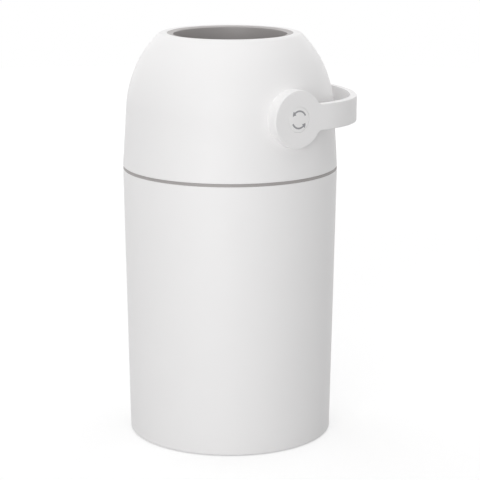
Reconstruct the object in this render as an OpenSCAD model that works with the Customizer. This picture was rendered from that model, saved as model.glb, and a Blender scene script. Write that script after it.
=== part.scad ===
// Nappy bin with a turning drum.
// A tapered bin carries a lift-off bag ring. A domed head stands on the ring and locks to it with
// three lugs. A ball-shaped drum hangs in the head on two stub axles. Its cup faces up at rest, and
// half a turn of the handle tips the nappy into the bin and closes the mouth with the ball's back.
// The origin is the centre of the base on the floor, +X is the drum's axle, +Y is the side that the
// handle lies on at rest, and +Z is up. Lengths are in millimetres.

/* [Bin] */
// Outer radius of the bin at its rim, which the bottom edge of the dome shares
body_r = 113.5; // [108:0.5:122]
// Outer radius of the bin at its base
base_r = 108.4; // [104:0.4:113]
// Height of the bin's rim above the floor
bin_h = 286.4; // [240:0.4:340]
// Wall of the bin
bin_wall = 2.6; // [2:0.1:3.2]
// Thickness of the bin's floor
floor_t = 3; // [2:0.25:5]
// Height of the bin's bottom edge above the floor it stands on
foot_show = 0.8; // [0.4:0.1:2]
// Height of the rubber ring that the bin stands on
foot_h = 5; // [4:0.5:8]
// Width of the rubber ring that the bin stands on
foot_w = 7.6; // [5:0.2:9]

/* [Bag ring] */
// Height of the band that shows between the bin and the dome
seam_h = 2.9; // [2.5:0.1:5]
// Depth of the ring's spigot inside the bin
spigot_h = 24.4; // [22:0.2:32]
// Radial room between the spigot and the bin's wall, where the bag's edge lies
bag_room = 1.9; // [1.2:0.1:3]
// Wall of the ring's spigot
spigot_wall = 2.2; // [1.8:0.1:3]
// Angle that the head turns through between unlocked and locked
twist_angle = 22; // [12:1:32]
// Number of locking lugs
lug_count = 3; // [2:1:4]
// Width of a locking lug, as an angle
lug_angle = 8; // [5:0.5:10]
// Height of a locking lug
lug_h = 4; // [3:0.25:5]
// Width of the gasket in the ring's groove
gasket_w = 1.4; // [1:0.1:1.6]
// Depth of the gasket's groove
groove_d = 1.6; // [1:0.1:1.9]

/* [Dome] */
// Wall of the dome
dome_wall = 2.6; // [2:0.1:3.2]
// Draft angle of the dome's lower wall
dome_draft = 3.6; // [2.5:0.1:4.5]
// Height of the dome's straight lower wall
dome_straight = 64.4; // [58:0.2:68]
// Radius of the rounded lip round the mouth
lip_r = 5.5; // [4:0.5:7]
// Width of the flat top between the mouth's rim and the rounded lip
flat_w = 5.7; // [4.5:0.3:7.5]
// Height of the drum's axle above the dome's bottom edge
pivot_up = 62.5; // [60:0.5:68]

/* [Mouth] */
// How much narrower the mouth is than the ball, on each side
mouth_in = 16.2; // [15.2:0.1:17.2]
// Width of the mouth's chamfered rim
rim_w = 6.2; // [5:0.2:7]
// Depth of the mouth's chamfer
rim_drop = 1.25; // [1:0.25:3]
// Wall of the collar inside the mouth
collar_wall = 2.4; // [1.8:0.1:3]
// Depth of the mouth's rim below which the ball's top stays
mouth_sink = 1.4; // [0.6:0.1:4]

/* [Drum] */
// Outer radius of the ball
ball_r = 76; // [70:0.5:80]
// Wall of the ball's two shells
ball_wall = 2.4; // [1.8:0.1:3]
// How much narrower the cup is than the mouth, on each side
cup_in = 2.8; // [2.2:0.1:4]
// Wall of the cup
cup_wall = 2; // [1.6:0.1:2.4]
// Room between the cup's round bottom and the ball's lower shell
cup_room = 2.6; // [1.6:0.1:5]
// Depth of the flat on the ball that an axle stands on
flat_in = 3; // [1.5:0.25:4]
// Radius of a seal's bead
bead_r = 1.6; // [1.2:0.1:1.8]
// Thickness of a seal's flat ring
seal_t = 1.2; // [0.8:0.1:1.6]

/* [Axles and handle] */
// Radius of an axle
axle_r = 9; // [8.6:0.1:10.5]
// Side of the square at each end of an axle
square_w = 12; // [10:0.25:12.2]
// Radial wall of an axle's bush
bush_wall = 2.95; // [2:0.05:3.2]
// Length of an axle's bearing
bearing_l = 15; // [13:0.5:18]
// Radius of the handle's round ends
disc_r = 29.75; // [28:0.25:34]
// Distance that a round end's seat stands out from the dome at the axle
boss_out = 1; // [0.6:0.1:3]
// Thickness of the handle
handle_t = 7.2; // [6.5:0.1:9]
// Height of the handle's strap
strap_h = 27; // [20:0.5:32]
// Length of the strap's straight arm, from the axle
arm_l = 36.4; // [34:0.2:42]
// Radius of the strap's corners, seen from above
corner_r = 82.9; // [76:0.3:86]
// Room for fingers between the dome and the strap's back
grip_room = 14.3; // [12:0.5:24]
// Fillet where the strap leaves its round end
web_r = 5; // [3:0.5:7]
// Radius of the cap over an axle's screw
cap_r = 13; // [11:0.25:15]

/* [Fits] */
// Radial room of an axle in its bush
run_gap = 0.05; // [0.02:0.01:0.1]
// Room between two pieces that are fitted together
fit_gap = 0.1; // [0.05:0.01:0.2]
// Room between two pieces that slide past each other
slide_gap = 0.4; // [0.3:0.05:0.6]

/* [Hidden] */
$fn = 96;

// Colours
white = [0.94, 0.94, 0.93];
pale_grey = [0.72, 0.71, 0.7];
mid_grey = [0.65, 0.64, 0.63];
rubber = [0.3, 0.3, 0.31];
steel = [0.75, 0.76, 0.78];
overcut = 1;

// Screws: radius of the shank, radius of the head, height of the head
m3 = [1.45, 2.8, 2];
m4 = [1.95, 3.6, 2.6];
screw_gap = 0.05;
hole_gap = 0.25;
quarter_turns = [45, 135, 225, 315];

// Radii of the mouth and the cup
mouth_r = ball_r - mouth_in;
cup_r = mouth_r - cup_in;

// Heights of the seam, the axle and the top
ring_z0 = bin_h + fit_gap;
ring_z1 = ring_z0 + seam_h;
dome_z0 = ring_z1 + fit_gap;
pivot_z = dome_z0 + pivot_up;
dome_z1 = pivot_z + ball_r + mouth_sink;

// Bin
taper = (body_r - base_r) / (bin_h - foot_show);
edge_chamfer = 1;
foot_rib_w = 2;
foot_rib_up = 1;
floor_fillet = 4;
foot_ro = bin_ri(foot_h) - slide_gap;
foot_ri = foot_ro - foot_w;

// Gasket between the bag ring and the head, just inside the dome's wall
seam_in = 0.2;
gasket_rise = 1.3;
gasket_h = groove_d + gasket_rise;
gasket_z0 = ring_z1 - groove_d;
groove_ro = body_r - dome_wall - seam_in;
groove_ri = groove_ro - gasket_w - 2 * fit_gap;

// Bag ring, whose spigot hangs in the bin with the bag's edge folded over it
flange_ro = body_r - seam_in;
spigot_z0 = bin_h - spigot_h;
spigot_ro = bin_ri(spigot_z0) - bag_room;
spigot_ri = spigot_ro - spigot_wall;
lug_side = 0.8;
lug_up = 8;
lug_z0 = spigot_z0 + lug_up;
lug_ro = spigot_ro - slide_gap;

// Seals, whose beads lie round the ball above and below the axle
seal_gap = 0.3;
bead_in = 1;
bead_room = 0.2;
seal_rim = 2;
seal_r = mouth_r + bead_in + bead_r;
seal_up = sqrt(pow(ball_r + bead_r + seal_gap, 2) - pow(seal_r, 2));
seat_up = seal_up + bead_r + bead_room;
seal_ri = mouth_r + slide_gap;
seal_ro = seal_r + bead_r + seal_rim;

// Head base
skirt_wall = 2.4;
skirt_down = 4;
skirt_ro = spigot_ri - slide_gap;
skirt_z0 = lug_z0 - skirt_down;
locator_in = 0.5;
locator_ro = body_r - dome_wall - locator_in;
locator_t = 2.4;
locator_z0 = gasket_z0 + gasket_h + seal_gap;
plate_t = 2.6;
plate_z1 = pivot_z - seat_up;
exit_out = 0.6;
exit_r = mouth_r + exit_out;
retainer_w = 10;
retainer_h = 2.6;
retainer_screw_r = seal_ro + retainer_w / 2;
retainer_boss_h = 4.8;
head_screw_in = 2.4;
head_screw_r = skirt_ro - skirt_wall - head_screw_in - m4[1];

// Walls round screws, and how far the screws reach into them
pillar_wall = 2.8;
boss_wall = 2.4;
head_screw_l = 12;
small_screw_l = 3.6;
pilot_spare = 0.4;
pillar_rib_w = 2.2;

// Collar
rim_ro = mouth_r + rim_w;
tube_ro = mouth_r + collar_wall;
collar_flange_t = 2.4;
collar_flange_w = 2.6;
carrier_wall = 1.9;
carrier_lip = 1.4;
carrier_lip_h = 1.7;
ear_out = 10.8;
ear_r = tube_ro + ear_out;
ear_w = 8;
ear_t = 3.4;
ear_down = 9;
ear_z1 = dome_z1 - ear_down;

// Places along the axle, as distances from the drum's centre
seat_x = wall_r(pivot_z) + boss_out;
boss_depth = 9.5;
disc_room = 0.6;
bearing_x = seat_x - bearing_l;
bush_r = axle_r + run_gap + bush_wall;
bush_flange_w = 3;
bush_flange_r = bush_r + bush_flange_w;
bush_flange_t = 1.7;
bearing_wall = 4;
bearing_ro = bush_r + bearing_wall;
back_x = seat_x + slide_gap;
face_x = back_x + handle_t;
cap_t = 1.4;
cap_x = face_x - cap_t;
washer_r = 9.6;
washer_t = 0.8;
washer_room = 0.3;
washer_in = 2;
washer_x = cap_x - washer_in;
o_ring_in = 5;
o_ring_x = bearing_x + o_ring_in;
o_ring_w = 1.7;
o_ring_wire = 0.66;
groove_depth = 1.4;

// Drum
flat_x = ball_r - flat_in;
ball_ri = ball_r - ball_wall;
socket_l = 8.8;
socket_x = flat_x - socket_l;
socket_wall = 4;
nut_w = 7;
nut_t = 3;
nut_web = 1.4;
nut_x = socket_x - nut_web - nut_t;
boss_x = nut_x - fit_gap;
pad_r = 23;
pad_t = 5;
cup_ro = cup_r + cup_wall;
cup_bottom_r = ball_ri - cup_room;
cup_bottom_ri = cup_bottom_r - cup_wall;
cup_rest_r = 8;
cup_rest_gap = 0.3;
lap_up = 8;
lap_z = lap_up - sqrt(pow(cup_bottom_ri, 2) - pow(cup_r, 2));
lap_h = 6;
lap_wall = 1.6;
sleeve_l = 14;
sleeve_up = ball_up(cup_ro) - sleeve_l;
sleeve_wall = 2;
snap_h = 2;
snap_w = 1.2;
snap_up = sleeve_up - slide_gap - snap_h;
drum_post_wall = 3;
drum_screw_out = 8.5;
drum_screw_r = cup_ro + drum_screw_out;
drum_screw_l = 16;
drum_head_in = 1.5;
drum_head_up = ball_up(drum_screw_r + m3[1]) - m3[2] - drum_head_in;

// Stop lug behind each round end of the handle, and its slot
stop_in = 7.75;
stop_r = disc_r - stop_in;
stop_lug_r = 2.2;
stop_lug_h = 3.2;
stop_side = 0.5;
stop_room = 0.3;

function bin_ro(z) = base_r + (z - foot_show) * taper;
function bin_ri(z) = bin_ro(z) - bin_wall;
function wall_r(z) = body_r - (z - dome_z0) * tan(dome_draft);
// Height of the ball's surface above the axle, at a distance r from the centre line
function ball_up(r) = sqrt(pow(ball_r, 2) - pow(r, 2));
// Points along an arc about [cx, cy], from angle a0 to angle a1 in n steps
function arc(cx, cy, r, a0, a1, n) = [
    for (i = [0:n])
        let (a = a0 + (a1 - a0) * i / n)
            [cx + r * cos(a), cy + r * sin(a)]
];

// The dome's outline in the plane of radius and height: a straight wall, a shoulder arc that leaves
// the wall smoothly, and a lip arc that touches the shoulder and the flat top
lip_x = rim_ro + fit_gap + flat_w;
lip_z = dome_z1 - lip_r;
shoulder_z0 = dome_z0 + dome_straight;
to_lip = [lip_x - wall_r(shoulder_z0), lip_z - shoulder_z0];
out = [cos(dome_draft), sin(dome_draft)];
shoulder_r = (pow(lip_r, 2) - to_lip * to_lip) / (2 * (to_lip * out + lip_r));
shoulder_x = wall_r(shoulder_z0) - shoulder_r * out[0];
shoulder_z = shoulder_z0 - shoulder_r * out[1];
lip_a = atan2(lip_z - shoulder_z, lip_x - shoulder_x);
lip_step = 4;
lip_min = 0.5;

// Outline of the dome a distance d inside its outer face, from its bottom edge to its lip
function dome_line(d) = concat(
    [[body_r - d / cos(dome_draft), dome_z0]],
    arc(shoulder_x, shoulder_z, shoulder_r - d, dome_draft, lip_a, 20),
    arc(lip_x, lip_z, max(lip_r - d, lip_min), lip_a + lip_step, 90, 6)
);

// Mirrored copy of a right-hand piece
module on_side(s) {
    if (s > 0) children();
    if (s < 0) mirror([1, 0, 0]) children();
}

// Cylinder along the axle between two distances from the centre, moved by y and z
module x_cylinder(r, x0, x1, y = 0, z = 0) {
    translate([x0, y, pivot_z + z]) rotate([0, 90, 0]) cylinder(r = r, h = x1 - x0);
}

// Square bar along the axle
module x_square(w, x0, x1) {
    translate([x0, -w / 2, pivot_z - w / 2]) cube([x1 - x0, w, w]);
}

// Ring between two radii and two heights
module ring(ri, ro, z0, z1) {
    rotate_extrude() translate([ri, z0]) square([ro - ri, z1 - z0]);
}

// Part of a ring, centred on angle a and w degrees wide
module ring_part(ri, ro, z0, z1, a, w) {
    rotate([0, 0, a - w / 2])
        rotate_extrude(angle = w) translate([ri, z0]) square([ro - ri, z1 - z0]);
}

// Copies at distance r from the centre line, one at each of the angles
module around(r, angles) {
    for (a = angles) rotate([0, 0, a]) translate([r, 0, 0]) children();
}

// Pan-head screw pointing up from height z, where its head's underside is
module screw_up(size, z, length) {
    translate([0, 0, z - size[2]]) cylinder(r = size[1], h = size[2]);
    translate([0, 0, z - size[2] / 2]) cylinder(r = size[0], h = length + size[2] / 2);
}

// Solid inside the dome, a distance d below its outer face
module dome_inside(d) {
    rotate_extrude() polygon(concat([[0, dome_z0]], dome_line(d), [[0, dome_z1 - d]]));
}

// Bin

module bin_body() {
    floor_z1 = foot_h + floor_t;
    rib_ro = foot_ri - slide_gap;
    color(white) rotate_extrude() polygon([
        [0, foot_h],
        [rib_ro - foot_rib_w, foot_h],
        [rib_ro - foot_rib_w, foot_show + foot_rib_up],
        [rib_ro, foot_show + foot_rib_up],
        [rib_ro, foot_h],
        [bin_ri(foot_h), foot_h],
        [bin_ri(foot_show), foot_show],
        [base_r - edge_chamfer, foot_show],
        [bin_ro(foot_show + edge_chamfer), foot_show + edge_chamfer],
        [body_r, bin_h],
        [body_r - bin_wall, bin_h],
        [bin_ri(floor_z1 + floor_fillet), floor_z1 + floor_fillet],
        [bin_ri(floor_z1) - floor_fillet, floor_z1],
        [0, floor_z1]
    ]);
}

module non_slip_ring() {
    color(rubber) ring(foot_ri, foot_ro, 0, foot_h);
}

// Bag ring

module lug_slots() {
    for (i = [0:lug_count - 1]) {
        a = i * 360 / lug_count;
        entry = lug_angle + 2 * lug_side;
        z0 = lug_z0 - slide_gap;
        z1 = lug_z0 + lug_h + slide_gap;
        ri = spigot_ri - overcut;
        ro = spigot_ro + overcut;
        ring_part(ri, ro, z0, ring_z0, a, entry);
        ring_part(ri, lug_ro + fit_gap, ring_z0 - overcut, ring_z1 + overcut, a, entry);
        ring_part(ri, ro, z0, z1, a + twist_angle / 2, entry + twist_angle);
    }
}

module bag_ring() {
    color(mid_grey) difference() {
        rotate_extrude() polygon([
            [spigot_ri, spigot_z0],
            [spigot_ro, spigot_z0],
            [spigot_ro, ring_z0],
            [flange_ro, ring_z0],
            [flange_ro, ring_z1],
            [groove_ro, ring_z1],
            [groove_ro, gasket_z0],
            [groove_ri, gasket_z0],
            [groove_ri, ring_z1],
            [spigot_ri, ring_z1]
        ]);
        lug_slots();
    }
}

module seam_gasket() {
    r = groove_ri + fit_gap;
    color(rubber) ring(r, r + gasket_w, gasket_z0, gasket_z0 + gasket_h);
}

// Head

// Seat of one round end of the handle, with the tube that holds the axle's bush
module axle_boss() {
    x_cylinder(disc_r, seat_x - boss_depth, seat_x);
    x_cylinder(bearing_ro, bearing_x, seat_x - boss_depth + overcut);
}

// Curved slot that the handle's stop lug runs in, over half a turn
module stop_slot() {
    w = stop_lug_r + stop_side;
    x0 = seat_x - stop_lug_h;
    intersection() {
        difference() {
            x_cylinder(stop_r + w, x0, seat_x + overcut);
            x_cylinder(stop_r - w, x0 - overcut, seat_x + 2 * overcut);
        }
        translate([x0, -disc_r, pivot_z - stop_lug_r - stop_room])
            cube([stop_lug_h + overcut, 2 * disc_r, 2 * disc_r]);
    }
}

module axle_cuts() {
    x_cylinder(bush_r + run_gap, bearing_x - overcut, seat_x + overcut);
    x_cylinder(bush_flange_r + fit_gap, seat_x - bush_flange_t - fit_gap, seat_x + overcut);
    x_cylinder(disc_r + disc_room, seat_x, body_r + overcut);
    stop_slot();
}

// Pillars that the head base is screwed to, each with a rib to the dome's wall
module head_pillars() {
    intersection() {
        around(head_screw_r, quarter_turns) {
            translate([0, 0, plate_z1]) cylinder(r = m4[0] + pillar_wall, h = dome_z1 - plate_z1);
            translate([0, -pillar_rib_w / 2, plate_z1])
                cube([body_r - head_screw_r, pillar_rib_w, dome_z1 - plate_z1]);
        }
        dome_inside(dome_wall / 2);
    }
}

// Short pillars that the collar is screwed to
module collar_pillars() {
    intersection() {
        around(ear_r, quarter_turns)
            translate([0, 0, ear_z1]) cylinder(r = m3[0] + boss_wall, h = dome_z1 - ear_z1);
        dome_inside(dome_wall / 2);
    }
}

module dome_shell() {
    wall = concat(
        dome_line(0),
        [[rim_ro + fit_gap, dome_z1], [rim_ro + fit_gap, dome_z1 - dome_wall]],
        [for (i = [len(dome_line(dome_wall)) - 1:-1:0]) dome_line(dome_wall)[i]]
    );
    color(white) difference() {
        union() {
            rotate_extrude() polygon(wall);
            on_side(1) axle_boss();
            on_side(-1) axle_boss();
            head_pillars();
            collar_pillars();
        }
        on_side(1) axle_cuts();
        on_side(-1) axle_cuts();
        around(head_screw_r, quarter_turns) translate([0, 0, plate_z1 - overcut])
            cylinder(r = m4[0] + screw_gap, h = head_screw_l + pilot_spare + overcut);
        around(ear_r, quarter_turns) translate([0, 0, ear_z1 - overcut])
            cylinder(r = m3[0] + screw_gap, h = small_screw_l + pilot_spare + overcut);
    }
}

module collar() {
    z_flange = dome_z1 - dome_wall - fit_gap;
    seat = pivot_z + seat_up;
    lip_z1 = seat - seal_t - fit_gap;
    lip_ri = seal_ro - carrier_lip;
    carrier_ri = seal_ro + fit_gap;
    carrier_ro = carrier_ri + carrier_wall;
    color(pale_grey) difference() {
        union() {
            rotate_extrude() polygon([
                [mouth_r, dome_z1 - rim_drop],
                [rim_ro, dome_z1],
                [rim_ro, z_flange],
                [rim_ro + collar_flange_w, z_flange],
                [rim_ro + collar_flange_w, z_flange - collar_flange_t],
                [tube_ro, z_flange - collar_flange_t],
                [tube_ro, seat + collar_wall],
                [carrier_ro, seat + collar_wall],
                [carrier_ro, lip_z1 - carrier_lip_h],
                [lip_ri, lip_z1 - carrier_lip_h],
                [lip_ri, lip_z1],
                [carrier_ri, lip_z1],
                [carrier_ri, seat],
                [mouth_r, seat]
            ]);
            around(tube_ro - collar_wall / 2, quarter_turns) translate([0, -ear_w / 2, ear_z1 - ear_t])
                cube([ear_out + (ear_w + collar_wall) / 2, ear_w, ear_t]);
        }
        around(ear_r, quarter_turns) translate([0, 0, ear_z1 - ear_t - overcut])
            cylinder(r = m3[0] + hole_gap, h = ear_t + 2 * overcut);
    }
}

module collar_screws() {
    color(steel) around(ear_r, quarter_turns) screw_up(m3, ear_z1 - ear_t, ear_t + small_screw_l);
}

// Seal with a bead that lies on the ball, on the side up (+1) or down (-1) from the axle
module ball_seal(side) {
    flat_z0 = side > 0 ? pivot_z + seat_up - seal_t : pivot_z - seat_up;
    rotate_extrude() {
        translate([seal_r, pivot_z + side * seal_up]) circle(r = bead_r);
        translate([seal_ri, flat_z0]) square([seal_ro - seal_ri, seal_t]);
    }
}

module upper_seal() {
    color(rubber) ball_seal(1);
}

module lower_seal() {
    color(rubber) ball_seal(-1);
}

module head_base() {
    plate_z0 = plate_z1 - plate_t;
    boss_z0 = plate_z0 - retainer_boss_h;
    color(white) difference() {
        union() {
            rotate_extrude() polygon([
                [exit_r, plate_z1],
                [skirt_ro, plate_z1],
                [skirt_ro, locator_z0 + locator_t],
                [locator_ro, locator_z0 + locator_t],
                [locator_ro, locator_z0],
                [skirt_ro, locator_z0],
                [skirt_ro, skirt_z0],
                [skirt_ro - skirt_wall, skirt_z0],
                [skirt_ro - skirt_wall, plate_z0],
                [exit_r, plate_z0]
            ]);
            for (i = [0:lug_count - 1])
                ring_part(skirt_ro - skirt_wall / 2, lug_ro, lug_z0, lug_z0 + lug_h,
                    i * 360 / lug_count, lug_angle);
            around(retainer_screw_r, quarter_turns) translate([0, 0, boss_z0])
                cylinder(r = m3[0] + boss_wall, h = retainer_boss_h + plate_t / 2);
        }
        around(retainer_screw_r, quarter_turns) translate([0, 0, boss_z0 - overcut])
            cylinder(r = m3[0] + screw_gap, h = retainer_boss_h + plate_t + 2 * overcut);
        around(head_screw_r, quarter_turns) translate([0, 0, plate_z0 - overcut])
            cylinder(r = m4[0] + hole_gap, h = plate_t + 2 * overcut);
    }
}

module head_screws() {
    color(steel) around(head_screw_r, quarter_turns)
        screw_up(m4, plate_z1 - plate_t, plate_t + head_screw_l);
}

module seal_retainer() {
    lip_ri = seal_r + bead_r + slide_gap;
    lip_z0 = plate_z1 + seal_t + fit_gap;
    color(pale_grey) difference() {
        rotate_extrude() polygon([
            [seal_ro + fit_gap, plate_z1],
            [seal_ro + retainer_w, plate_z1],
            [seal_ro + retainer_w, plate_z1 + retainer_h],
            [lip_ri, plate_z1 + retainer_h],
            [lip_ri, lip_z0],
            [seal_ro + fit_gap, lip_z0]
        ]);
        around(retainer_screw_r, quarter_turns) translate([0, 0, plate_z1 - overcut])
            cylinder(r = m3[0] + hole_gap, h = retainer_h + 2 * overcut);
    }
}

module retainer_screws() {
    color(steel) translate([0, 0, plate_z1 + retainer_h]) mirror([0, 0, 1])
        around(retainer_screw_r, quarter_turns) screw_up(m3, 0, retainer_h + plate_t + small_screw_l);
}

// Bush that carries an axle, pushed into the dome from outside
module bush() {
    color(pale_grey) difference() {
        union() {
            x_cylinder(bush_r, bearing_x, seat_x - bush_flange_t / 2);
            x_cylinder(bush_flange_r, seat_x - bush_flange_t, seat_x);
        }
        x_cylinder(axle_r + run_gap, bearing_x - overcut, seat_x + overcut);
    }
}

module bush_right() {
    on_side(1) bush();
}

module bush_left() {
    on_side(-1) bush();
}

// Drum

// Ball with a flat at each end of the axle
module ball() {
    intersection() {
        translate([0, 0, pivot_z]) sphere(r = ball_r);
        translate([-flat_x, -ball_r, pivot_z - ball_r]) cube([2 * flat_x, 2 * ball_r, 2 * ball_r]);
    }
}

// Upright post or sleeve inside the ball, between two heights from the axle, trimmed to end in the
// middle of the ball's wall
module in_ball(r, z0, z1, x = 0) {
    intersection() {
        translate([x, 0, pivot_z + z0]) cylinder(r = r, h = z1 - z0);
        translate([0, 0, pivot_z]) sphere(r = ball_r - ball_wall / 2);
    }
}

// Boss inside the ball that holds the square end of an axle and its nut
module axle_socket() {
    x_cylinder(pad_r, flat_x - pad_t, flat_x);
    x_cylinder(square_w / sqrt(2) + socket_wall, boss_x, flat_x - pad_t + overcut);
}

module axle_socket_cuts() {
    x_square(square_w + 2 * fit_gap, socket_x, flat_x + overcut);
    x_square(nut_w + 2 * fit_gap, boss_x - overcut, nut_x + nut_t + fit_gap);
    x_cylinder(m4[0] + hole_gap, boss_x, flat_x);
}

// Posts for the screws that join the ball's two shells
module drum_posts(z0, z1) {
    around(0, quarter_turns) in_ball(m3[0] + drum_post_wall, z0, z1, drum_screw_r);
}

// Hollow ball with the axle's sockets, before it is cut in two
module ball_shell() {
    difference() {
        ball();
        translate([0, 0, pivot_z]) sphere(r = ball_ri);
    }
    on_side(1) axle_socket();
    on_side(-1) axle_socket();
}

module drum_upper_shell() {
    color(white) difference() {
        union() {
            ball_shell();
            drum_posts(0, ball_r);
            in_ball(cup_ro + sleeve_wall, sleeve_up, ball_r);
        }
        translate([0, 0, pivot_z - ball_r - overcut])
            cylinder(r = ball_r + overcut, h = ball_r + overcut);
        translate([0, 0, pivot_z + sleeve_up / 2]) cylinder(r = cup_ro + fit_gap, h = ball_r);
        on_side(1) axle_socket_cuts();
        on_side(-1) axle_socket_cuts();
        around(drum_screw_r, quarter_turns) {
            translate([0, 0, pivot_z - overcut]) cylinder(r = m3[0] + hole_gap, h = ball_r);
            translate([0, 0, pivot_z + drum_head_up]) cylinder(r = m3[1] + hole_gap, h = ball_r);
        }
    }
}

module drum_lower_shell() {
    rest_z0 = pivot_z - ball_r + ball_wall / 2;
    pilot_l = drum_screw_l + pilot_spare;
    color(white) difference() {
        union() {
            ball_shell();
            drum_posts(-ball_r, 0);
            translate([0, 0, rest_z0])
                cylinder(r = cup_rest_r, h = ball_wall / 2 + cup_room - cup_rest_gap);
        }
        translate([0, 0, pivot_z]) cylinder(r = ball_r + overcut, h = ball_r + overcut);
        on_side(1) axle_socket_cuts();
        on_side(-1) axle_socket_cuts();
        around(drum_screw_r, quarter_turns) translate([0, 0, pivot_z - pilot_l])
            cylinder(r = m3[0] + screw_gap, h = pilot_l + overcut);
    }
}

// Round bottom of the cup, whose upper edge laps round the cup's tube
module drum_cup() {
    lap_ri = cup_ro + fit_gap;
    lap_ro = lap_ri + lap_wall;
    color(pale_grey) translate([0, 0, pivot_z]) rotate_extrude() polygon(concat(
        arc(0, 0, cup_bottom_ri, -90, -acos(cup_r / cup_bottom_ri), 16),
        [
            [cup_r, lap_z],
            [lap_ri, lap_z],
            [lap_ri, lap_z + lap_h],
            [lap_ro, lap_z + lap_h]
        ],
        arc(0, 0, cup_bottom_r, -acos(lap_ro / cup_bottom_r), -90, 16)
    ));
}

// Straight wall of the cup, whose ridge snaps under the sleeve of the ball's upper shell
module cup_tube() {
    color(pale_grey) translate([0, 0, pivot_z]) rotate_extrude() polygon([
        [cup_r, lap_z],
        [cup_ro, lap_z],
        [cup_ro, snap_up - snap_w],
        [cup_ro + snap_w, snap_up + snap_h],
        [cup_ro, snap_up + snap_h],
        [cup_ro, ball_up(cup_ro)],
        [cup_r, ball_up(cup_r)]
    ]);
}

module drum_screws() {
    color(steel) translate([0, 0, pivot_z + drum_head_up]) mirror([0, 0, 1])
        around(drum_screw_r, quarter_turns) screw_up(m3, 0, drum_head_up + drum_screw_l);
}

// Hollow stub axle: a square end in the ball, a round journal and a square end in the handle
module axle() {
    color(pale_grey) difference() {
        union() {
            x_square(square_w, socket_x + fit_gap, flat_x + overcut);
            x_cylinder(axle_r, flat_x, back_x - fit_gap);
            x_square(square_w, back_x - overcut, washer_x - fit_gap);
        }
        x_cylinder(m4[0] + hole_gap, socket_x, face_x);
        difference() {
            x_cylinder(axle_r + overcut, o_ring_x, o_ring_x + o_ring_w);
            x_cylinder(axle_r - groove_depth, o_ring_x - overcut, o_ring_x + o_ring_w + overcut);
        }
    }
}

module axle_right() {
    on_side(1) axle();
}

module axle_left() {
    on_side(-1) axle();
}

module axle_o_rings() {
    color(rubber) for (s = [1, -1]) on_side(s)
        translate([o_ring_x + o_ring_w / 2, 0, pivot_z]) rotate([0, 90, 0])
            rotate_extrude() translate([axle_r - groove_depth / 2, 0]) circle(r = o_ring_wire);
}

module axle_nuts() {
    color(steel) for (s = [1, -1]) on_side(s) difference() {
        x_square(nut_w, nut_x, nut_x + nut_t);
        x_cylinder(m4[0] + screw_gap, nut_x - overcut, nut_x + nut_t + overcut);
    }
}

// Handle

// Centre and radius of the strap's back, whose arc touches both corner arcs
reach = wall_r(pivot_z) + grip_room + handle_t;
corner_x = face_x - corner_r;
back_r = (pow(corner_x, 2) + pow(arm_l - reach, 2) - pow(corner_r, 2))
    / (2 * (reach - arm_l - corner_r));
back_y = reach - back_r;
join_a = atan2(arm_l - back_y, corner_x);
join_step = 2;

// Half of the strap's outline, seen from above, a distance d inside its outer face
function strap_line(d) = concat(
    [[face_x - d, 0]],
    arc(corner_x, arm_l, corner_r - d, 0, join_a, 16),
    arc(0, back_y, back_r - d, join_a + join_step, 90, 12)
);
function flipped(line) = [for (i = [len(line) - 2:-1:0]) [-line[i][0], line[i][1]]];

// Fillets between a round end and its arm, seen along the axle. Each touches the round end at angle
// a, and starts a little inside it
module webs() {
    up = strap_h / 2 + web_r;
    along = sqrt(pow(disc_r + web_r, 2) - pow(up, 2));
    a = atan2(up, along);
    inside = disc_r - web_r / 2;
    translate([back_x, 0, pivot_z]) rotate([90, 0, 90]) linear_extrude(handle_t)
        for (m = [0, 1]) mirror([0, m]) polygon(concat(
            [[along, 0], [0, 0], [inside * cos(a), inside * sin(a)]],
            arc(along, up, web_r, a + 178, 270, 8)
        ));
}

module handle_end() {
    x_cylinder(disc_r, back_x, face_x);
    x_cylinder(stop_lug_r, back_x - stop_lug_h, back_x + overcut, stop_r);
    webs();
}

module handle_end_cuts() {
    x_square(square_w + 2 * fit_gap, back_x - overcut, face_x);
    x_cylinder(washer_r + washer_room, washer_x, face_x + overcut);
    x_cylinder(cap_r + fit_gap, cap_x, face_x + overcut);
}

module handle() {
    inner = strap_line(handle_t);
    color(white) difference() {
        union() {
            translate([0, 0, pivot_z - strap_h / 2]) linear_extrude(strap_h) difference() {
                polygon(concat(strap_line(0), flipped(strap_line(0))));
                polygon(concat([[inner[0][0], -overcut]], inner, flipped(inner), [[-inner[0][0], -overcut]]));
            }
            on_side(1) handle_end();
            on_side(-1) handle_end();
        }
        on_side(1) handle_end_cuts();
        on_side(-1) handle_end_cuts();
    }
}

module handle_washers() {
    color(steel) for (s = [1, -1]) on_side(s) difference() {
        x_cylinder(washer_r, washer_x, washer_x + washer_t);
        x_cylinder(m4[0] + hole_gap, washer_x - overcut, washer_x + washer_t + overcut);
    }
}

module handle_screws() {
    head_x = washer_x + washer_t;
    color(steel) for (s = [1, -1]) on_side(s) {
        x_cylinder(m4[1], head_x, cap_x - fit_gap);
        x_cylinder(m4[0], nut_x, head_x + overcut / 2);
    }
}

module hub_cap() {
    color(white) x_cylinder(cap_r, cap_x, face_x);
}

module hub_cap_right() {
    on_side(1) hub_cap();
}

module hub_cap_left() {
    on_side(-1) hub_cap();
}

bin_body();
non_slip_ring();
bag_ring();
seam_gasket();
dome_shell();
collar();
collar_screws();
upper_seal();
head_base();
head_screws();
lower_seal();
seal_retainer();
retainer_screws();
bush_right();
bush_left();
drum_upper_shell();
drum_lower_shell();
drum_cup();
cup_tube();
drum_screws();
axle_right();
axle_left();
axle_o_rings();
axle_nuts();
handle();
handle_washers();
handle_screws();
hub_cap_right();
hub_cap_left();
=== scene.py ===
"""Looks of a nappy bin with a turning drum, dressed on its packed CAD frame."""

import math
from collections import namedtuple

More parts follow.
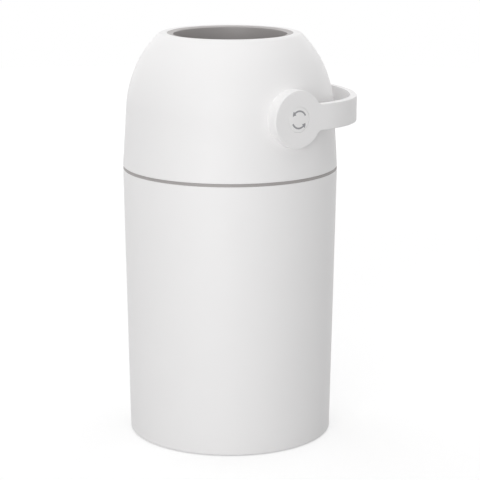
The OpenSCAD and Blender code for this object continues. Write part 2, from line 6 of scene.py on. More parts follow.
import bmesh
import bpy
import numpy as np
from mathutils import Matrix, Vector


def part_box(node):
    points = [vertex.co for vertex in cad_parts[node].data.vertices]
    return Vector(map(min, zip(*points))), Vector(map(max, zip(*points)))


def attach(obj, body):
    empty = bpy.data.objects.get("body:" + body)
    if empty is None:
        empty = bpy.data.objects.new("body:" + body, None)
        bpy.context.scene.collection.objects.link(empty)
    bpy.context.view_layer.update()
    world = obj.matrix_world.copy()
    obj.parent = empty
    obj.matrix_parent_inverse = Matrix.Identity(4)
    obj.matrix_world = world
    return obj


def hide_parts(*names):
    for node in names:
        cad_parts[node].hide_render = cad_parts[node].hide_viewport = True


bl_info = {
    "name": "Nappy bin",
    "version": (1, 0, 0),
    "blender": (4, 5, 0),
    "location": "3D View > Sidebar > Nappy Bin",
    "description": "Builds the looks of a nappy bin with a turning drum on its packed frame",
    "category": "Add Mesh",
}

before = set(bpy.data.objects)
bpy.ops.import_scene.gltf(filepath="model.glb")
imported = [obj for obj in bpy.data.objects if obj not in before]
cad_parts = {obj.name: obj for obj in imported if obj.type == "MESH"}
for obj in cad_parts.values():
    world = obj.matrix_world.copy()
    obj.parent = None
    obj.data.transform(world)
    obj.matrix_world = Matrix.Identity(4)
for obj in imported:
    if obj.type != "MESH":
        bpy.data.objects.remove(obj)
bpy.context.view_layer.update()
MM = 0.001
FIT_GAP = 0.1 * MM  # Room between two pieces that fit together
PAST = 1 * MM  # How far a cutter or a root reaches past the face that it meets
WELD = 0.002 * MM  # Distance under which two points are one
TURNS = 256  # Faces round the bin, its ring, the collar and the cup


def low(node):
    """Lowest corner of a CAD node."""
    return np.array(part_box(node)[0])


def high(node):
    """Highest corner of a CAD node."""
    return np.array(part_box(node)[1])


# Places that the frame settles, in metres
BIN_R = high("bin_body")[0]
BIN_Z0 = low("bin_body")[2]
BIN_Z1 = high("bin_body")[2]
FOOT_Z1 = high("non_slip_ring")[2]
FOOT_RO = high("non_slip_ring")[0]
DOME_Z0 = low("dome_shell")[2]
DOME_Z1 = high("dome_shell")[2]
PIVOT_Z = (low("handle")[2] + high("handle")[2]) / 2
BALL_R = high("drum_upper_shell")[1]
BEARING_X = low("bush_right")[0]
SEAT_X = high("bush_right")[0]
BUSH_R = high("bush_right")[1]
FACE_X = high("handle")[0]
DISC_R = (high("handle")[2] - low("handle")[2]) / 2
REACH = high("handle")[1]
CAP_X = low("hub_cap_right")[0]
CAP_R = high("hub_cap_right")[1]
PLATE_Z = high("head_base")[2]
COLLAR_Z0 = low("collar")[2]

# What the cross-head screws of a CAD node ride on, their sizes, and which way they point
Screw = namedtuple("Screw", "body head_r head_h shank_r points_up")
SCREWS = {
    "collar_screws": Screw("head", 2.8 * MM, 2 * MM, 1.45 * MM, True),
    "head_screws": Screw("head", 3.6 * MM, 2.6 * MM, 1.95 * MM, True),
    "retainer_screws": Screw("head", 2.8 * MM, 2 * MM, 1.45 * MM, False),
    "drum_screws": Screw("drum", 2.8 * MM, 2 * MM, 1.45 * MM, False),
}


def linear(sheet):
    """Linear colour of an sRGB hex value such as "#F4F3F1": each channel c above 0.04045 becomes
    ((c + 0.055) / 1.055) to the power 2.4, and a darker one c / 12.92."""
    c = np.array([int(sheet[i:i + 2], 16) for i in (1, 3, 5)]) / 255
    return tuple(np.where(c > 0.04045, ((c + 0.055) / 1.055) ** 2.4, c / 12.92))


def number(name, description, default, **kind):
    """A plain number property."""
    return bpy.props.FloatProperty(name=name, description=description, default=default, **kind)


def length(name, description, default):
    """A length property in metres, from a default in millimetres."""
    return number(name, description, default * MM, min=0, precision=5, subtype="DISTANCE",
                  unit="LENGTH")


def angle(name, description, default):
    """An angle property, from a default in degrees."""
    return number(name, description, math.radians(default), subtype="ANGLE", unit="ROTATION")


def tint(name, description, default):
    """A colour property, from an sRGB hex value."""
    return bpy.props.FloatVectorProperty(
        name=name, description=description, default=linear(default), size=3, min=0, max=1,
        subtype="COLOR",
    )


class BinShape(bpy.types.PropertyGroup):
    """Sizes of the bin and what it stands on."""

    base_r: length("Base radius", "Outer radius of the bin at its base", 108.4)
    wall: length("Wall", "Thickness of the bin's wall", 2.6)
    floor_t: length("Floor", "Thickness of the bin's floor", 3)
    floor_round: length("Floor fillet", "Fillet between the bin's floor and its wall", 5)
    base_round: length("Base edge", "Rounding of the bin's bottom edge", 1.4)
    rim_round: length("Rim edge", "Rounding of the bin's upper edge", 0.5)
    foot_w: length("Foot width", "Width of the non-slip ring", 7.6)
    tread: length("Tread depth", "Depth of the grooves under the non-slip ring", 0.6)
    rib_w: length("Rib width", "Width of the rib inside the non-slip ring", 2)
    rib_up: length("Rib lift", "How far the rib stops above the bin's base", 1)
    rib_room: length("Rib room", "Room between the rib and the non-slip ring", 0.4)


class HeadShape(bpy.types.PropertyGroup):
    """Sizes of the dome and the collar."""

    wall: length("Wall", "Thickness of the dome", 2.6)
    draft: angle("Draft", "Draft angle of the dome's lower wall", 3.6)
    straight: length("Straight wall", "Height of the dome's straight lower wall", 64.4)
    lip_r: length("Lip", "Radius of the lip round the mouth", 5.5)
    flat_w: length("Flat top", "Width of the flat top between rim and lip", 5.7)
    edge: length("Edge", "Rounding of the dome's edges", 0.6)
    mouth_r: length("Mouth radius", "Radius of the mouth's inner wall", 59.8)
    rim_w: length("Rim width", "Width of the mouth's chamfered rim", 6.2)
    rim_drop: length("Rim drop", "Depth of the mouth's chamfer", 1.25)
    collar_wall: length("Collar wall", "Thickness of the collar and its flange", 2.4)
    flange_w: length("Flange width", "How far the collar's flange reaches under the dome", 2.6)
    ear_half: length("Ear", "Half width of a screw ear, and its reach past the screw", 4)
    ear_t: length("Ear thickness", "Thickness of a screw ear", 3.4)
    seal_wall: length("Seal wall", "Wall of the collar outside the upper seal", 2)
    seal_lip_w: length("Seal lip", "How far the collar's lip reaches under the upper seal", 1.4)
    seal_lip_z: length("Seal lip depth", "Distance of the lip under the seal's seat", 1.3)
    boss_depth: length("Boss depth", "Depth of the handle's seat on the dome", 9.5)
    seat_edge: length("Seat edge", "Rounding of a seat's outer edge", 0.15)
    disc_room: length("Room round the seat", "Room round the handle's round end", 0.6)
    seat_bore: length("Seat bore", "Radius of the dome's hole behind a seat", 26)
    bearing_wall: length("Bearing wall", "Wall of the tube round a bush", 4)
    bush_flange_w: length("Bush flange", "How far a bush's flange stands out from its tube", 3)
    bush_sink: length("Bush sink", "Depth of the recess for a bush's flange", 1.8)
    slot_room: length("Slot room", "Room to each side of a stop lug in its slot", 0.5)
    slot_turn: angle("Slot turn", "How far the slot reaches to each side of the top", 97)
    pillar_wall: length("Pillar wall", "Wall of a pillar round its screw", 2.6)
    head_hole: length("Head screw hole", "Depth of a head screw's hole", 12.4)
    ear_hole: length("Ear screw hole", "Depth of a collar screw's hole over its ear", 4)


class DrumShape(bpy.types.PropertyGroup):
    """Sizes of the cup in the drum."""

    cup_r: length("Cup radius", "Inner radius of the cup", 57)
    cup_wall: length("Cup wall", "Thickness of the cup", 2)
    cup_bottom: length("Cup bottom", "Distance from the axle to the inside of the cup's bottom", 69)
    cup_fillet: length("Cup fillet", "Radius between the cup's wall and its round bottom", 8)
    lap_wall: length("Lap", "Wall of the edge that laps round the cup's tube", 1.6)
    snap: length("Snap ridge", "How far the cup's ridge stands out", 1.2)
    snap_h: length("Ridge height", "Height of the cup's ridge", 3.2)
    snap_down: length("Ridge depth", "How far the ridge lies under the cup's rim", 14.4)


class HandleShape(bpy.types.PropertyGroup):
    """Sizes of the handle and its hub caps."""

    thick: length("Thickness", "Thickness of the handle", 7.2)
    strap_h: length("Strap height", "Height of the strap", 27)
    arm: length("Arm", "Length of the straight arm from the axle", 36.4)
    corner_r: length("Corner", "Radius of the strap's corners, seen from above", 82.9)
    web_r: length("Web", "Fillet between a round end and its arm", 5)
    edge: length("Edge", "Rounding of the handle's outer edges", 0.9)
    back_edge: length("Back edge", "Rounding of the handle's inner edges", 0.15)
    pad: length("Pad", "Extra thickness of a round end, which runs close to its seat", 0.3)
    lug_at: length("Lug place", "Distance of a stop lug from the axle", 22)
    lug_r: length("Lug radius", "Radius of a stop lug", 2.2)
    lug_out: length("Lug", "How far a stop lug stands behind the handle", 3.2)
    square: length("Square", "Width of the axle's square end", 12)
    washer_r: length("Washer seat", "Radius of the recess for a washer", 9.9)
    washer_t: length("Washer", "Thickness of a washer", 0.8)
    cap_edge: length("Cap edge", "Rounding of a hub cap's outer edge", 0.45)
    cap_sink: length("Cap sink", "How far a hub cap lies under the handle's face", 0.07)
    mark_r: length("Mark radius", "Radius of the turn mark on a hub cap", 8.7)
    mark_w: length("Mark width", "Width of the turn mark's band", 1.7)


class Finishes(bpy.types.PropertyGroup):
    """Colours of the finishes."""

    shell: tint("Shell", "White of the bin, dome and handle", "#F4F3F3")
    inner: tint("Inner shell", "White of the drum and the head's base", "#EFEEEC")
    collar: tint("Collar", "Grey of the collar", "#AFABAA")
    ring: tint("Bag ring", "Grey of the bag ring", "#A8A4A3")
    cup: tint("Cup", "Grey of the cup", "#A19D9D")
    bearing: tint("Bearing", "Off-white of axles and bushes", "#E4E2DB")
    rubber: tint("Rubber", "Grey of seals and the non-slip ring", "#55555A")
    steel: tint("Steel", "Grey of the screws", "#C8CACD")
    mark: tint("Mark", "Grey of the turn mark", "#9C9C9F")


class StageLook(bpy.types.PropertyGroup):
    """Camera and light."""

    azimuth: angle("Azimuth", "Side that the camera looks from", 54)
    pitch: angle("Pitch", "How far the camera looks down", 12.959)
    away: length("Distance", "Camera to the bin's axis", 1903.3)
    up: length("Height", "Height of the camera", 644.2)
    lens: number("Lens", "Focal length in millimetres", 136.46)
    shift: number("Shift", "Sideways shift of the lens", 0.0207)
    key: number("Key light", "Power of the main light", 24, unit="POWER")
    key_side: angle("Key side", "How far the main light stands to the camera's left", 15)
    key_up: angle("Key height", "How steeply the main light shines down", 8)
    top: number("Top light", "Power of the light overhead", 11, unit="POWER")
    rear: number("Rear lights", "Power of each rear light", 11, unit="POWER")
    rear_side: angle("Rear side", "How far a rear light stands to each side of the camera", 140)
    rear_up: angle("Rear height", "How steeply a rear light shines down", 20)
    sky: number("Sky", "Strength of the light all round", 0.45)


GROUPS = {"bin": BinShape, "head": HeadShape, "drum": DrumShape, "grip": HandleShape,
          "finish": Finishes, "stage": StageLook}


def settings(group):
    """The scene's values of one group."""
    return getattr(bpy.context.scene, "nappy_" + group)


# Outlines and surfaces. An outline is an array of (r, z) points, and a surface is a pair of
# arrays: points and four-sided faces.


def arc(cx, cy, r, a0, a1, n=12):
    """n points at distance r from (cx, cy), at angles spread evenly from a0 to a1 in radians."""
    a = np.linspace(a0, a1, n)
    return np.column_stack((cx + r * np.cos(a), cy + r * np.sin(a)))


def rounded(corners, steps=6):
    """Closed outline whose corners, each (x, y, radius), become arcs. The arc of radius r at a
    corner of half angle h is centred on the bisector at r / sin h, and touches both sides at
    r / tan h from the corner."""
    corners = np.array(corners, float)
    p, r = corners[:, :2], corners[:, 2]
    back = np.roll(p, 1, 0) - p
    ahead = np.roll(p, -1, 0) - p
    back /= np.linalg.norm(back, axis=1)[:, None]
    ahead /= np.linalg.norm(ahead, axis=1)[:, None]
    half = np.arccos(np.clip((back * ahead).sum(1), -1, 1)) / 2
    middle = back + ahead
    middle /= np.maximum(np.linalg.norm(middle, axis=1), 1e-12)[:, None]
    centre = p + middle * (r / np.sin(half))[:, None]
    start = p + back * (r / np.tan(half))[:, None] - centre
    side = np.sign(back[:, 1] * ahead[:, 0] - back[:, 0] * ahead[:, 1])
    turn = side[:, None] * (math.pi - 2 * half)[:, None] * np.linspace(0, 1, steps)
    c, s = np.cos(turn), np.sin(turn)
    x = centre[:, :1] + start[:, :1] * c - start[:, 1:] * s
    y = centre[:, 1:] + start[:, :1] * s + start[:, 1:] * c
    keep = (r > 0)[:, None] | (np.arange(steps) == 0)
    return np.column_stack((x[keep], y[keep]))


def grid(rows, columns, wrap_rows, wrap_columns):
    """Faces of a grid of points, in rows of columns, closed round where a wrap is set."""
    i = np.arange(rows if wrap_rows else rows - 1)[:, None]
    j = np.arange(columns if wrap_columns else columns - 1)[None, :]
    i1, j1 = (i + 1) % rows, (j + 1) % columns
    faces = np.stack([i * columns + j, i1 * columns + j, i1 * columns + j1, i * columns + j1], -1)
    return faces.reshape(-1, 4)


def revolved(outline, turns=TURNS):
    """Closed surface of revolution: the outline's point (r, z), carried round by the angle a, goes
    to (r cos a, r sin a, z)."""
    outline = np.array(outline)
    a = np.linspace(0, 2 * math.pi, turns, endpoint=False)[:, None]
    r, z = outline[:, 0], outline[:, 1]
    points = np.stack([r * np.cos(a), r * np.sin(a), np.broadcast_to(z, (turns, len(z)))], -1)
    return points.reshape(-1, 3), grid(turns, len(z), True, True)


def rod(r, z0, z1, turns=96):
    """Closed cylinder about Z between two heights."""
    return revolved([(0, z0), (r, z0), (r, z1), (0, z1)], turns)


def on_axle(surface, side):
    """A surface made about Z, turned so that its axis is the drum's axle on one side."""
    points, faces = surface
    turned = np.column_stack((side * points[:, 2], points[:, 0], points[:, 1] + PIVOT_Z))
    return turned, faces


def moved(surface, x, y, z=0):
    """A surface moved by (x, y, z)."""
    return surface[0] + np.array([x, y, z]), surface[1]


def slab(lo, hi, edge, steps=4):
    """Box between two corners with rounded upright edges: a rounded rectangle carried up from the
    bottom to the top, and closed at both ends to a line along the middle."""
    x0, y0, z0 = lo
    x1, y1, z1 = hi
    ring = rounded([(x0, y0, edge), (x1, y0, edge), (x1, y1, edge), (x0, y1, edge)], steps)
    middle = np.column_stack((ring[:, 0], np.full(len(ring), (y0 + y1) / 2)))
    levels = [(middle, z0), (ring, z0), (ring, z1), (middle, z1)]
    points = np.concatenate([np.column_stack((p, np.full(len(p), z))) for p, z in levels])
    return points, grid(len(levels), len(ring), False, True)


def solid(name, surfaces, smooth=35):
    """One object from its surfaces. It merges their doubles, turns their faces outward and smooths
    edges flatter than an angle in degrees."""
    first = np.cumsum([0] + [len(p) for p, _ in surfaces[:-1]])
    points = np.concatenate([p for p, _ in surfaces])
    faces = np.concatenate([f + k for (_, f), k in zip(surfaces, first)])
    mesh = bpy.data.meshes.new(name)
    mesh.vertices.add(len(points))
    mesh.vertices.foreach_set("co", points.astype(np.float32).ravel())
    mesh.loops.add(faces.size)
    mesh.loops.foreach_set("vertex_index", faces.astype(np.int32).ravel())
    mesh.polygons.add(len(faces))
    mesh.polygons.foreach_set("loop_start", np.arange(0, faces.size, 4, dtype=np.int32))
    mesh.update(calc_edges=True)
    edit = bmesh.new()
    edit.from_mesh(mesh)
    bmesh.ops.remove_doubles(edit, verts=edit.verts, dist=WELD)
    bmesh.ops.dissolve_degenerate(edit, edges=edit.edges, dist=WELD / 2)
    bmesh.ops.recalc_face_normals(edit, faces=edit.faces)
    edit.to_mesh(mesh)
    edit.free()
    soften(mesh, smooth)
    piece = bpy.data.objects.new(name, mesh)
    bpy.context.scene.collection.objects.link(piece)
    return piece


def make(name, surfaces, body, slot, stands_for=(), smooth=35, look=None):
    """One piece from its surfaces, which rides on a body in place of some CAD nodes. Its look is
    its slot's finish, unless another finish is named."""
    piece = solid(name, surfaces, smooth)
    piece.data.materials.append(finish(look or slot))
    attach(piece, body)
    if stands_for:
        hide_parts(*stands_for)
    return piece


def soften(mesh, smooth):
    """Smooth shading, broken at edges sharper than an angle in degrees."""
    mesh.polygons.foreach_set("use_smooth", np.ones(len(mesh.polygons), bool))
    mesh.set_sharp_from_angle(angle=math.radians(smooth))


def cut(piece, *tools, smooth=35):
    """Takes the tools' surfaces away from a piece, and leaves the result in its mesh."""
    cutters = [solid("cutter", [t]) for t in tools]
    for c in cutters:
        m = piece.modifiers.new("cut", "BOOLEAN")
        m.operation, m.solver, m.object = "DIFFERENCE", "EXACT", c
    depsgraph = bpy.context.evaluated_depsgraph_get()
    mesh = bpy.data.meshes.new_from_object(piece.evaluated_get(depsgraph))
    piece.modifiers.clear()
    piece.data = mesh
    mesh.name = piece.name
    for c in cutters:
        bpy.data.objects.remove(c)
    soften(mesh, smooth)


# Materials


def add(tree, kind, inputs=None, **values):
    """Adds a node, sets its values and fills its inputs with links or numbers."""
    node = tree.nodes.new(kind)
    for name, value in values.items():
        setattr(node, name, value)
    for name, value in (inputs or {}).items():
        if isinstance(value, bpy.types.NodeSocket):
            tree.links.new(value, node.inputs[name])
        else:
            node.inputs[name].default_value = value
    return node


def emptied(block):
    """The node tree of a new material or world, with nothing in it yet."""
    block.use_nodes = True
    block.node_tree.nodes.clear()
    return block.node_tree


def moulding(name, colour, roughness, grain, depth, drift=0.02, gloss_drift=0.06, **shader):
    """Moulded plastic in a colour of Finishes. Broad noise shifts the colour a little, as uneven
    cooling does, finer noise shifts the gloss, and a grain of a size in millimetres, left by the
    mould, stands in the bump."""
    material = bpy.data.materials.new(name)
    tree = emptied(material)
    place = add(tree, "ShaderNodeTexCoord").outputs["Object"]
    broad, fine, pits = (
        add(tree, "ShaderNodeTexNoise", {"Vector": place, "Scale": 1 / (size * MM), "Detail": d})
        for size, d in ((60, 3), (9, 4), (grain, 2)))
    c = np.array(getattr(settings("finish"), colour))
    tone = add(tree, "ShaderNodeMix", {
        "Factor": broad.outputs["Fac"],
        "A": (*(c * (1 - drift)), 1),
        "B": (*np.minimum(c * (1 + drift), 1), 1),
    }, data_type="RGBA")
    gloss = add(tree, "ShaderNodeMapRange", {
        "Value": fine.outputs["Fac"], "From Min": 0.3, "From Max": 0.7,
        "To Min": roughness - gloss_drift, "To Max": roughness + gloss_drift,
    })
    bump = add(tree, "ShaderNodeBump", {
        "Height": pits.outputs["Fac"], "Strength": 0.5, "Distance": depth * MM,
    })
    body = add(tree, "ShaderNodeBsdfPrincipled", {
        "Base Color": tone.outputs["Result"], "Roughness": gloss.outputs["Result"],
        "Normal": bump.outputs["Normal"], **shader,
    })
    add(tree, "ShaderNodeOutputMaterial", {"Surface": body.outputs["BSDF"]})
    return material


def white_abs():
    """Injection-moulded ABS from a finely eroded mould: an even satin white with no sharp
    highlight. The real grain is about 0.1 mm, and is drawn at 0.9 mm so that it shows."""
    return moulding("moulded white ABS", "shell", 0.55, 0.9, 0.035, 0.012, IOR=1.54)


def inner_abs():
    """The same ABS on parts seen less, with a slightly greyer white and a little more gloss."""
    return moulding("moulded inner ABS", "inner", 0.4, 0.9, 0.03, 0.015, IOR=1.54)


def grey_collar_abs():
    """Grey ABS with a satin finish, which catches a soft light on its chamfer."""
    return moulding("moulded grey ABS", "collar", 0.42, 0.8, 0.03, IOR=1.54)


def grey_ring_polypropylene():
    """Dark grey polypropylene: waxy, and less glossy than ABS."""
    return moulding("moulded grey polypropylene", "ring", 0.5, 0.8, 0.03, IOR=1.49)


def cup_polypropylene():
    """Light grey polypropylene with a smooth inside that wipes clean."""
    return moulding("moulded cup polypropylene", "cup", 0.34, 1.2, 0.02, IOR=1.49)


def acetal():
    """Injection-moulded acetal for bearings: dense, off-white and slightly slippery in gloss."""
    return moulding("moulded acetal", "bearing", 0.32, 1.5, 0.015, IOR=1.48)


def rubber():
    """Moulded thermoplastic rubber: dull, with a coarse grain that hides fingerprints."""
    return moulding("moulded rubber", "rubber", 0.72, 0.7, 0.06, IOR=1.52)


def mark_ink():
    """Pad-printed grey ink: thin, even and duller than the cap that it lies on."""
    return moulding("pad-printed ink", "mark", 0.55, 0.6, 0.01, IOR=1.5)


def zinc_steel():
    """Zinc-plated steel: bright metal whose plating clouds in patches of a few millimetres."""
    return moulding("zinc-plated steel", "steel", 0.3, 0.5, 0.01, 0.06, 0.1, Metallic=1)


FINISHES = {
    "white_shell": white_abs, "white_inner": inner_abs, "collar_grey": grey_collar_abs,
    "ring_grey": grey_ring_polypropylene, "cup_grey": cup_polypropylene, "bearing_plastic": acetal,
    "rubber": rubber, "steel": zinc_steel, "mark": mark_ink,
}
made = {}  # Materials made so far, by finish


def finish(name):
    """The material of a finish, made once."""
    if name not in made:
        made[name] = FINISHES[name]()
    return made[name]


def smoothing():
    """Node group that welds a CAD mesh and shades it smooth up to edges of 30 degrees."""
    tree = bpy.data.node_groups.get("smooth frame")
    if tree:
        return tree
    tree = bpy.data.node_groups.new("smooth frame", "GeometryNodeTree")
    tree.is_modifier = True
    tree.interface.new_socket("Geometry", in_out="INPUT", socket_type="NodeSocketGeometry")
    tree.interface.new_socket("Geometry", in_out="OUTPUT", socket_type="NodeSocketGeometry")
    start = add(tree, "NodeGroupInput").outputs[0]
    weld = add(tree, "GeometryNodeMergeByDistance", {"Geometry": start, "Distance": WELD})
    faces = add(tree, "GeometryNodeSetShadeSmooth", {"Geometry": weld.outputs[0]}, domain="FACE")
    bend = add(tree, "GeometryNodeInputMeshEdgeAngle").outputs["Unsigned Angle"]
    sharp = add(tree, "FunctionNodeCompare", {"A": bend, "B": math.radians(30)},
                data_type="FLOAT", operation="GREATER_THAN")
    edges = add(tree, "GeometryNodeSetShadeSmooth", {
        "Geometry": faces.outputs[0], "Selection": sharp.outputs[0], "Shade Smooth": False,
    }, domain="EDGE")
    add(tree, "NodeGroupOutput", {0: edges.outputs[0]})
    return tree


def dress(look, *nodes):
    """Gives CAD nodes that stay a finish and smooth shading."""
    for name in nodes:
        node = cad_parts[name]
        node.data.materials.clear()
        node.data.materials.append(finish(look))
        m = node.modifiers.new("smooth", "NODES")
        m.node_group = smoothing()


# Pieces


def screw_boxes(node):
    """Place of each of a node's four screws: x, y and lowest and highest z of what lies in each
    quarter of the plan."""
    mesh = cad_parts[node].data
    p = np.empty(len(mesh.vertices) * 3)
    mesh.vertices.foreach_get("co", p)
    p = p.reshape(-1, 3)
    places = []
    for sx, sy in ((1, 1), (-1, 1), (-1, -1), (1, -1)):
        q = p[(sx * p[:, 0] > 0) & (sy * p[:, 1] > 0)]
        lo, hi = q.min(0), q.max(0)
        places.append(((lo[0] + hi[0]) / 2, (lo[1] + hi[1]) / 2, lo[2], hi[2]))
    return places


def ear_top():
    """Height of the top of the collar's ears, which the collar's screws pass through."""
    return low("collar_screws")[2] + SCREWS["collar_screws"].head_h + settings("head").ear_t


class NAPPYBIN_OT_bin(bpy.types.Operator):
    """Make the tapered bin and the non-slip ring under it"""

    bl_idname = "nappybin.bin"
    bl_label = "Bin"

    def execute(self, context):
        """The bin is one closed outline of its wall, floor and foot recess, turned about Z. The
        non-slip ring is a rectangle with a tread under it, turned the same way."""
        v = settings("bin")
        slope = (BIN_R - v.base_r) / (BIN_Z1 - BIN_Z0)
        top = FOOT_Z1 + v.floor_t

        def inner(z):
            """Radius of the wall's inner face at a height."""
            return v.base_r + (z - BIN_Z0) * slope - v.wall

        rib_ro = FOOT_RO - v.foot_w - v.rib_room
        rib_ri, rib_z0 = rib_ro - v.rib_w, BIN_Z0 + v.rib_up
        outline = rounded([
            (0, top, 0), (0, FOOT_Z1, 0), (rib_ri, FOOT_Z1, 0.8 * MM), (rib_ri, rib_z0, 0.4 * MM),
            (rib_ro, rib_z0, 0.4 * MM), (rib_ro, FOOT_Z1, 0.8 * MM),
            (inner(FOOT_Z1), FOOT_Z1, 0.6 * MM), (inner(BIN_Z0), BIN_Z0, 0.4 * MM),
            (v.base_r, BIN_Z0, v.base_round), (BIN_R, BIN_Z1, v.rim_round),
            (BIN_R - v.wall, BIN_Z1, v.rim_round), (inner(top), top, v.floor_round),
        ], 8)
        make("bin_shell", [revolved(outline)], "bin", "white_shell", ["bin_body"])
        make("foot_ring", [revolved(self.foot(v))], "bin", "rubber", ["non_slip_ring"])
        return {"FINISHED"}

    def foot(self, v):
        """Outline of the non-slip ring. Its underside is a wave, minus the cosine of three and a
        half turns, of which the stretch from 0.2 to 0.8 is kept. That leaves flat treads, three
        grooves between them and a raised outer edge."""
        ri = FOOT_RO - v.foot_w
        u = np.linspace(0, 1, 41)
        wave = np.clip((-np.cos(2 * math.pi * 3.5 * u) - 0.2) / 0.6, 0, 1)
        under = np.column_stack((ri + v.foot_w * u, v.tread * wave))
        return np.concatenate((under, [(FOOT_RO, FOOT_Z1), (ri, FOOT_Z1)]))


def dome_line(inset):
    """Outline of the dome a distance inside its outer face: a straight drafted wall, a shoulder arc
    that leaves it smoothly and a lip arc that touches both the shoulder and the flat top."""
    v = settings("head")
    hole = v.mouth_r + v.rim_w + FIT_GAP
    lip = np.array([hole + v.flat_w, DOME_Z1 - v.lip_r])
    foot = np.array([BIN_R - v.straight * math.tan(v.draft), DOME_Z0 + v.straight])
    out = np.array([math.cos(v.draft), math.sin(v.draft)])
    to_lip = lip - foot
    radius = (v.lip_r ** 2 - to_lip @ to_lip) / (2 * (to_lip @ out + v.lip_r))
    centre = foot - radius * out
    turn = math.atan2(lip[1] - centre[1], lip[0] - centre[0])
    start = [(BIN_R - inset / math.cos(v.draft), DOME_Z0)]
    shoulder = arc(*centre, radius - inset, v.draft, turn, 56)
    edge = arc(*lip, v.lip_r - inset, turn, math.pi / 2, 14)
    return np.concatenate((start, shoulder, edge[1:]))


class NAPPYBIN_OT_dome(bpy.types.Operator):
    """Make the dome with the seats and bearings of the handle's axles"""

    bl_idname = "nappybin.dome"
    bl_label = "Dome"

    def execute(self, context):
        """The dome is a shell, pillars for its screws and two seats, each with a slot in it."""
        v = settings("head")
        shell = make("dome", [self.shell(v)], "head", "white_shell", ["dome_shell"], smooth=40)
        bore = rod(v.seat_bore, BEARING_X, BIN_R + PAST)
        cut(shell, on_axle(bore, 1), on_axle(bore, -1), smooth=40)
        tubes = self.pillars("head_screws", PLATE_Z, v.head_hole)
        tubes += self.pillars("collar_screws", ear_top(), v.ear_hole)
        make("dome_pillars", tubes, "head", "white_shell")
        seat, slot = revolved(self.seat(v), turns=160), self.stop_slot(v)
        for side, name in ((1, "seat_right"), (-1, "seat_left")):
            piece = make(name, [on_axle(seat, side)], "head", "white_shell")
            cut(piece, on_axle(slot, side))
        return {"FINISHED"}

    def shell(self, v):
        """The dome's outer and inner outlines turned about Z. Points that would stand in the
        handle's way, outside a seat, are moved in to the seat's plane."""
        hole = v.mouth_r + v.rim_w + FIT_GAP
        e = v.edge
        outer, inner = dome_line(0), dome_line(v.wall)
        foot = rounded([(*inner[0], e / 2), (*outer[0], e), (*outer[1], 0)])[:-1]
        top = rounded([(*outer[-1], 0), (hole, DOME_Z1, e), (hole, DOME_Z1 - v.wall, e / 2),
                       (*inner[-1], 0)])[1:-1]
        wall = np.linspace(foot[-1], outer[1], 40)[1:-1]
        outline = np.concatenate((foot, wall, outer[1:], top, inner[:0:-1]))
        points, faces = revolved(outline, turns=320)
        near = np.hypot(points[:, 1], points[:, 2] - PIVOT_Z) < DISC_R + v.disc_room
        proud = near & (np.abs(points[:, 0]) > SEAT_X)
        points[proud, 0] = np.sign(points[proud, 0]) * SEAT_X
        return points, faces

    def seat(self, v):
        """Outline of a seat and of the tube that holds its bush, about the axle."""
        shaft = BUSH_R - v.bush_flange_w + FIT_GAP / 2
        tube, back = shaft + v.bearing_wall, SEAT_X - v.boss_depth
        sink_r, sink_x = BUSH_R + FIT_GAP, SEAT_X - v.bush_sink
        return rounded([
            (shaft, BEARING_X, 0.2 * MM), (tube, BEARING_X, 0.3 * MM), (tube, back, 1 * MM),
            (DISC_R, back, 0.3 * MM), (DISC_R, SEAT_X, v.seat_edge), (sink_r, SEAT_X, 0.2 * MM),
            (sink_r, sink_x, 0), (shaft, sink_x, 0.2 * MM),
        ], 5)

    def pillars(self, node, z0, deep):
        """Tubes round a node's screws, from a height up into the middle of the dome's wall, each
        with a hole of a depth. A point that would stand above the wall's middle comes down to
        it."""
        v = settings("head")
        line = dome_line(v.wall / 2)[::-1]
        hole = SCREWS[node].shank_r + FIT_GAP / 2
        out = hole + v.pillar_wall
        tube = revolved([(0, z0 + deep), (hole, z0 + deep), (hole, z0), (out, z0), (out, DOME_Z1),
                         (0, DOME_Z1)], turns=40)
        surfaces = []
        for x, y, _, _ in screw_boxes(node):
            points, faces = moved(tube, x, y)
            ceiling = np.interp(np.hypot(points[:, 0], points[:, 1]), line[:, 0], line[:, 1])
            points[:, 2] = np.minimum(points[:, 2], ceiling)
            surfaces.append((points, faces))
        return surfaces

    def stop_slot(self, v):
        """Half-turn slot that a stop lug of the handle runs in: a rectangle carried round by more
        than half a turn, closed at both ends."""
        grip = settings("grip")
        half = grip.lug_r + v.slot_room
        r0, r1 = grip.lug_at - half, grip.lug_at + half
        z0, z1 = SEAT_X - grip.lug_out, SEAT_X + PAST
        corners = np.array([(r0, z0), (r1, z0), (r1, z1), (r0, z1)])
        a = np.linspace(-v.slot_turn, v.slot_turn, 60)
        # Each end stands twice, whole and shrunk to its middle, which closes it.
        a[[1, -2]] = a[[0, -1]]
        scale = np.ones(len(a))
        scale[[0, -1]] = 0
        middle = corners.mean(0)
        ring = middle + scale[:, None, None] * (corners - middle)
        points = np.stack([
            ring[..., 0] * np.sin(a)[:, None], ring[..., 0] * np.cos(a)[:, None], ring[..., 1],
        ], -1)
        return points.reshape(-1, 3), grid(len(a), len(corners), False, True)


